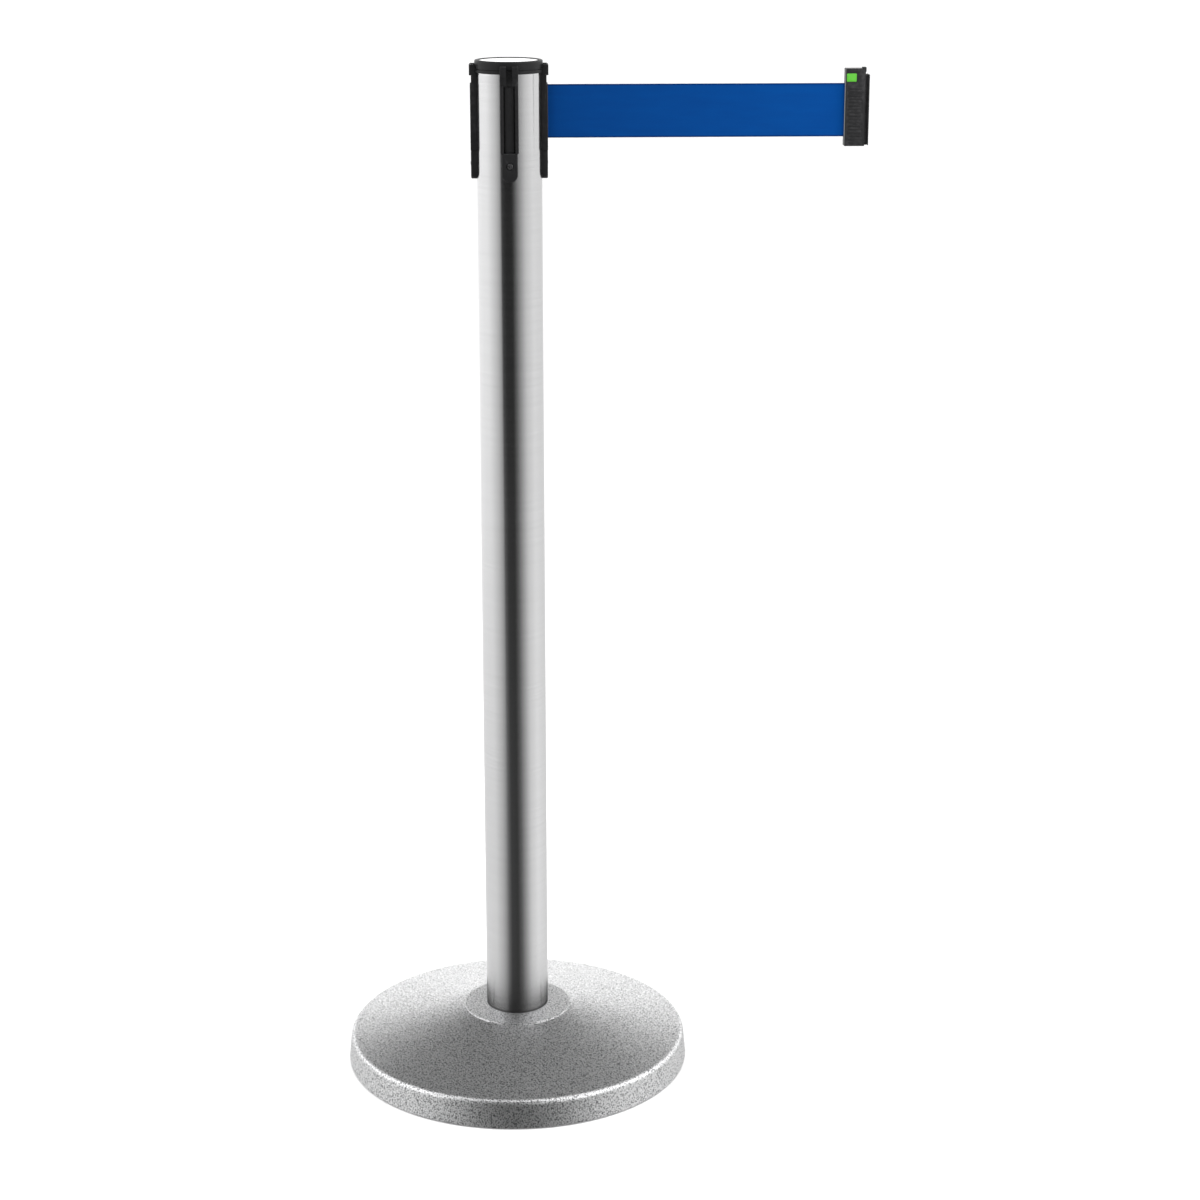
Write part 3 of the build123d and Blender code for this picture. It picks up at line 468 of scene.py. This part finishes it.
def baseDish():
    low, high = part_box("base_cover")
    facts = {"sheet": 0.0012, "rimTop": 0.029, "rimLean": 0.0025, "rimRound": 0.005, "seatRadius": 0.0545,
             "seatStep": 0.0016, "bore": 0.0264, "foldGap": 0.0002}
    sheet, step = facts["sheet"], facts["seatStep"]
    outer, top = high[0], high[2]
    rimTop, rimIn = facts["rimTop"], outer - facts["rimLean"]
    seat, bore, fold = facts["seatRadius"], facts["bore"], facts["foldGap"]
    corners = [(outer, low[2], 0.0005), (rimIn, rimTop, facts["rimRound"]),
               (seat + fold, top - step, 0.0004), (seat - fold / 2, top, 0.0004),
               (bore, top, 0.0002), (bore, top - sheet, 0),
               (seat - sheet, top - sheet, 0.0008), (seat - fold, top - step - sheet, 0.001),
               (rimIn - sheet, rimTop - sheet, 0.0026), (outer - sheet, low[2], 0.0004)]
    return turned("baseDish", "base_cover", "silver_coat", corners, steps=8)


def tubeSkin():
    low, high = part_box("tube")
    facts = {"wall": 0.0015, "collar": 0.003, "footGap": 0.001, "rounding": 0.0002}
    outer, top, foot = high[0], high[2], low[2] + facts["footGap"]
    inner, collar, rounding = outer - facts["wall"], facts["collar"], facts["rounding"]
    corners = [(outer, foot, rounding), (outer, foot + collar, 0), (outer, top - collar, 0),
               (outer, top, rounding), (inner, top, 0), (inner, foot, 0)]
    return turned("tubeSkin", "tube", "brushed_tube", corners)


def headRing():
    low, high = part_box("head_ring")
    facts = {"footProud": 0.00035, "footHeight": 0.0028, "groove": 0.0008, "chamfer": 0.0009,
             "discSeat": 0.0283, "seatDepth": 0.0022, "floor": 0.003, "hole": 0.004, "bore": 0.0296}
    foot, top, bottom = high[0], high[2], low[2]
    body, step, groove = foot - facts["footProud"], bottom + facts["footHeight"], facts["groove"]
    chamfer, seat, hole, bore = facts["chamfer"], facts["discSeat"], facts["hole"], facts["bore"]
    floorTop = top - facts["seatDepth"] - 0.0001
    floorLow = floorTop - facts["floor"]
    corners = [(foot, bottom, 0.0003), (foot, step, 0.0003), (body - groove, step, 0.0001),
               (body - groove, step + groove, 0.0001), (body, step + groove, 0.0002),
               (body, top - chamfer, 0.0007), (body - chamfer, top, 0.0006), (seat, top, 0.0004),
               (seat - 0.0002, top - facts["seatDepth"], 0.0001), (hole, floorTop, 0), (hole, floorLow, 0),
               (bore, floorLow, 0), (bore, bottom, 0)]
    turned("headRing", "head_ring", "black_moulding", corners, steps=6)


def topDisc():
    low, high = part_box("top_disc")
    facts = {"grooveFrom": 0.0022, "grooveTo": 0.0033, "grooveSlope": 0.0003, "grooveDepth": 0.00022,
             "crown": 0.00005, "pinhole": 0.0004}
    edge, top, bottom = high[0], high[2], low[2]
    outer, inner, slope = edge - facts["grooveFrom"], edge - facts["grooveTo"], facts["grooveSlope"]
    dip, pinhole = top - facts["grooveDepth"], facts["pinhole"]
    corners = [(edge, bottom, 0), (edge, top, 0.0005), (outer, top, 0.0003), (outer - slope, dip, 0.0002),
               (inner + slope, dip, 0.0002), (inner, top, 0.0003), (pinhole, top + facts["crown"], 0),
               (pinhole, bottom, 0)]
    turned("topDisc", "top_disc", "white_disc", corners, sides=192)


baseDish().visible_glossy = False  # tube and coat mirror the studio, not each other
tubeSkin().visible_glossy = False
headRing()
topDisc()
print("stage: base, tube and head made")

edgeRounds = {"arm": 0.00022, "tab": 0.0003, "shell": 0.0002, "small": 0.00018}
for side in ("front", "rear", "left", "right"):
    softened("arm_" + side, edgeRounds["arm"])
    softened("tab_" + side, edgeRounds["tab"])
print("stage: receivers made")


# ---- cross-recess screws on the four tabs

def crossScrew(name, headRadius, headHeight):
    # one pan head, recess upwards, underside at the origin
    facts = {"sides": 32, "recessReach": 0.6, "recessDepth": 0.75, "slotWidth": 0.25, "recessTaper": 0.55}
    sides = facts["sides"]
    turns = [2 * math.pi * k / sides for k in range(sides)]
    # shares of the head's radius and height
    profile = ((1.0, 0.0), (1.0, 0.55), (0.94, 0.78), (0.78, 0.93), (0.5, 1.0))
    dome = bpy.data.meshes.new(name)
    work = bmesh.new()
    loops = []
    for width, rise in profile:
        radius = headRadius * width
        height = headHeight * rise
        loops.append([work.verts.new((radius * math.cos(a), radius * math.sin(a), height)) for a in turns])
    for a, b in zip(loops, loops[1:]):
        for k in range(sides):
            work.faces.new((a[k], a[(k + 1) % sides], b[(k + 1) % sides], b[k]))
    work.faces.new(loops[-1])
    work.faces.new(reversed(loops[0]))
    work.to_mesh(dome)
    work.free()
    thing = bpy.data.objects.new(name, dome)
    scene.collection.objects.link(thing)
    cutter = bpy.data.meshes.new(name + "Recess")
    work = bmesh.new()
    arm, deep = headRadius * facts["recessReach"], headHeight * facts["recessDepth"]
    narrow = arm * facts["slotWidth"]
    for across, along in ((arm, narrow), (narrow, arm)):
        for v in bmesh.ops.create_cube(work, size=2)["verts"]:
            taper = 1.0 if v.co.z > 0 else facts["recessTaper"]
            v.co = Vector((v.co.x * across * taper, v.co.y * along * taper, headHeight + v.co.z * deep))
    work.to_mesh(cutter)
    work.free()
    tool = bpy.data.objects.new(name + "Recess", cutter)
    scene.collection.objects.link(tool)
    recess = thing.modifiers.new("recess", "BOOLEAN")
    recess.operation = "DIFFERENCE"
    recess.object = tool
    recess.solver = "EXACT"
    recess.use_self = True
    mesh = baked(thing, name)
    bpy.data.objects.remove(tool)
    return mesh


def tabScrews():
    facts = {"count": 4, "headRadius": 0.0033, "headHeight": 0.0017, "recessTurn": 0.35}
    low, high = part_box("arm_screws")
    reach = float(high[0] - facts["headHeight"])
    height = float((low[2] + high[2]) / 2)
    r = Recipe("tabScrewRing", {"Count": facts["count"], "Reach": reach, "Height": height,
                                "Material": finishes["black_screw"]})
    points = r.node("GeometryNodeMeshCircle", {"fill_type": "NONE"},
                    {"Vertices": r.given("Count"), "Radius": r.given("Reach")})
    lift = r.node("ShaderNodeCombineXYZ", {}, {2: r.given("Height")})
    points = r.node("GeometryNodeSetPosition", {}, {"Geometry": points, "Offset": lift})
    index = r.node("GeometryNodeInputIndex")
    angle = index * (2 * math.pi) / r.given("Count")
    spin = r.node("ShaderNodeCombineXYZ", {}, {0: facts["recessTurn"], 1: math.pi / 2, 2: angle})
    heads = r.node("GeometryNodeInstanceOnPoints", {}, {"Points": points, "Instance": r.given("Geometry"),
                                                        "Rotation": spin})
    r.finish(heads)
    mesh = r.make("tabScrews", crossScrew("tabScrew", facts["headRadius"], facts["headHeight"]))
    settle("tabScrews", mesh, "black_screw", "post", ["arm_screws"], 40)


tabScrews()
print("stage: screws made")


# ---- belt

def stretchEvenly(thing, start):
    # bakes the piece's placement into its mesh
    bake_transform(thing)
    start = Vector(start)


def beltRun():
    # from inside the outlet to the belt end
    facts = {"start": 0.0305, "pastEnd": 0.0006, "thickness": 0.00045, "edgeThickness": 0.00062,
             "edgeShare": 0.03, "edgeCorner": 0.45, "columns": 200, "rows": 28}
    low, high = beltFacts["low"], beltFacts["high"]
    start, end = facts["start"], float(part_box("belt_strip")[1][0]) + facts["pastEnd"]
    columns, rows = facts["columns"], facts["rows"]
    swell = (facts["edgeThickness"] - facts["thickness"]) / 2
    around = 2 * rows
    section = []  # up one face and down the other, thicker along both edges
    for k in range(around):
        side = -1 if k < rows else 1
        t = (k % rows) / (rows - 1)
        share = t if side < 0 else 1 - t
        nearEdge = max(0.0, 1 - min(share, 1 - share) / facts["edgeShare"])
        half = facts["thickness"] / 2 + swell * math.sin(math.pi * min(1, nearEdge))
        if share in (0.0, 1.0):
            half *= facts["edgeCorner"]
        section.append((side * half, low + (high - low) * share))
    places = [start + (end - start) * c / columns for c in range(columns + 1)]
    verts = [(x, y, z) for x in places for y, z in section]
    faces = []
    for c in range(columns):
        for k in range(around):
            a = c * around + k
            b = c * around + (k + 1) % around
            faces.append((a, a + around, b + around, b))
    faces.append(tuple(range(around)))
    faces.append(tuple(columns * around + k for k in reversed(range(around))))
    mesh = bpy.data.meshes.new("beltRun")
    mesh.from_pydata(verts, [], faces)
    work = bmesh.new()
    work.from_mesh(mesh)
    bmesh.ops.recalc_face_normals(work, faces=work.faces)
    work.to_mesh(mesh)
    work.free()
    thing = settle("beltRun", mesh, "blue_belt", None, ["belt_strip"], 60)
    thing.visible_glossy = False  # no blue streak on the tube
    stretchEvenly(thing, (start, 0, 0))


beltRun()
print("stage: belt made")


# ---- belt end

def catchSpring():
    # the coil under the release button
    low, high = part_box("lock_spring")
    mesh = frame["nodes"]["lock_spring"].data.copy()
    thing = settle("catchSpring", mesh, "spring_steel", None, ["lock_spring"], 60)
    stretchEvenly(thing, (0, 0, low[2]))


catchSpring()
for nodeName in ("belt_end_front", "belt_end_rear"):
    softened(nodeName, edgeRounds["shell"])
for nodeName in ("tongue", "lock_button", "inlay"):
    softened(nodeName, edgeRounds["small"])
print("stage: belt end made")


# ---- floor, world, lights and camera

def paleFloor():
    reach = 60
    corners = [(-reach, -reach, 0), (reach, -reach, 0), (reach, reach, 0), (-reach, reach, 0)]
    mesh = bpy.data.meshes.new("paleFloor")
    mesh.from_pydata(corners, [], [(0, 1, 2, 3)])
    thing = bpy.data.objects.new("paleFloor", mesh)
    scene.collection.objects.link(thing)
    f = Finish("paleFloor")
    colour = f.mix(f.noise(3.0), (0.93, 0.93, 0.93, 1), (0.95, 0.95, 0.95, 1))
    mesh.materials.append(f.shade({"Base Color": colour, "Roughness": 0.9}))
    thing.visible_glossy = False  # metal sees the studio walls instead


def studioWorld():
    # white walls with a dark gap on the camera's side, and a grey ceiling panel at the far side
    facts = {
        "gapStart": -32, "gapEnd": 11, "gapRise": 42, "gapSpread": (0.8, 0.92), "gapShade": 0.02,
        "panelTurn": 188, "panelRise": 50, "panelSpread": (0.5, 0.93), "panelShade": 0.08,
        "white": 1.75, "soft": 1.12,
        "belowFrom": (-0.2, -0.33), "skyFrom": (0.2, 0.45),
        "whiteFrom": (0.03, 0.2), "backFrom": (-0.5, -0.1),
    }
    world = bpy.data.worlds.new("studioWorld")
    world.use_nodes = True
    scene.world = world
    w = NodeSheet(world.node_tree)
    w.tree.nodes.clear()
    ray = w.node("ShaderNodeTexCoord", out=0)
    x, y, z = (w.node("ShaderNodeSeparateXYZ", {}, {0: ray}, k) for k in range(3))
    around = x.maths("ARCTAN2", x, y * -1.0) / (2 * math.pi) + 0.5

    def grey(value):
        return (value, value, value, 1)

    def walls(*stops):
        # (degrees round from the camera's side, brightness)
        shades = [(angle / 360 + 0.5, grey(value)) for angle, value in stops]
        return w.node("ShaderNodeValToRGB", {"stops": shades}, {0: around})

    def facing(turn, rise, start, full):
        # how far a ray points at a panel, from 0 to 1
        turn = math.radians(turn)
        rise = math.radians(rise)
        towards = (math.sin(turn) * math.cos(rise), -math.cos(turn) * math.cos(rise), math.sin(rise))
        dot = w.node("ShaderNodeVectorMath", {"operation": "DOT_PRODUCT"}, {0: ray, 1: towards}, 1)
        return w.steps(dot, start, full)

    start, end = facts["gapStart"], facts["gapEnd"]
    level = walls((-180, 1.3), (-150, 1.0), (-88, 0.9), (-52, 0.6), (start - 1, 0.34), (start + 1, 0.01),
                  (end - 3, 0.012), (end + 6, 0.09), (40, 0.36), (56, 0.57), (90, 0.73), (150, 0.72),
                  (180, 1.3))
    below = walls((-180, 0.75), (-150, 0.75), (-80, 0.68), (-50, 0.44), (start - 3, 0.24),
                  (start + 14, 0.065), (end - 6, 0.045), (end + 11, 0.12), (40, 0.36), (60, 0.68),
                  (90, 0.85), (150, 0.7), (180, 0.75))
    ring = w.mix(w.steps(z, *facts["belowFrom"]), level, below)
    behind = w.steps(z, *facts["whiteFrom"]) * w.steps(y, *facts["backFrom"])
    ring = w.mix(behind, ring, grey(facts["white"]))  # bright above the sides and the back

    panel = facing(facts["panelTurn"], facts["panelRise"], *facts["panelSpread"])
    sky = w.mix(panel, grey(facts["white"]), grey(facts["panelShade"]))
    gap = facing((start + end) / 2, facts["gapRise"], *facts["gapSpread"])
    sky = w.mix(gap, sky, grey(facts["gapShade"]))
    light = w.mix(w.steps(z, *facts["skyFrom"]), ring, sky)
    isDiffuse = w.node("ShaderNodeLightPath", out=2)
    soft = w.mix(isDiffuse, light, grey(facts["soft"]))  # even light for matt surfaces
    isCamera = w.node("ShaderNodeLightPath", out=0)
    seen = w.mix(isCamera, soft, grey(1))
    shade = w.node("ShaderNodeBackground", {}, {0: seen, 1: 1.0})
    w.node("ShaderNodeOutputWorld", {}, {0: shade})


def softbox(name, place, target, size, watts):
    light = bpy.data.lights.new(name, "AREA")
    light.shape = "RECTANGLE"
    light.size, light.size_y = size
    light.energy = watts
    thing = bpy.data.objects.new(name, light)
    thing.location = place
    thing.rotation_euler = (Vector(target) - Vector(place)).to_track_quat("-Z", "Y").to_euler()
    scene.collection.objects.link(thing)
    thing.visible_glossy = False  # it lights, and only the painted walls are mirrored


def studioCamera():
    facts = {"place": (-0.024, -2.48, 1.21), "pitch": 16.16, "yaw": 2.54, "lens": 77.8, "sensor": 36}
    camera = bpy.data.cameras.new("studioCamera")
    camera.lens = facts["lens"]
    camera.sensor_width = facts["sensor"]
    thing = bpy.data.objects.new("studioCamera", camera)
    thing.location = facts["place"]
    thing.rotation_euler = (math.radians(90 - facts["pitch"]), 0, math.radians(-facts["yaw"]))
    scene.collection.objects.link(thing)
    scene.camera = thing


softboxes = {
    "keyLeft": {"place": (-1.8, -1.6, 2.4), "target": (0, 0, 0.5), "size": (1.4, 1.4), "watts": 30},
    "fillRight": {"place": (2.0, -1.2, 1.8), "target": (0, 0, 0.6), "size": (1.2, 1.6), "watts": 22},
    "beltSide": {"place": (0.38, -0.3, 1.03), "target": (0.32, 0, 0.97), "size": (0.16, 0.16),
                 "watts": 1.05},
    "topSoft": {"place": (0, 0.4, 3.0), "target": (0, 0, 0.0), "size": (2.4, 2.4), "watts": 25},
}
paleFloor()
studioWorld()
for lampName, lampFacts in softboxes.items():
    softbox(lampName, **lampFacts)
studioCamera()
scene.view_settings.view_transform = "Standard"
scene.view_settings.look = "None"
scene.view_settings.exposure = 0.0
print("stage: studio made")
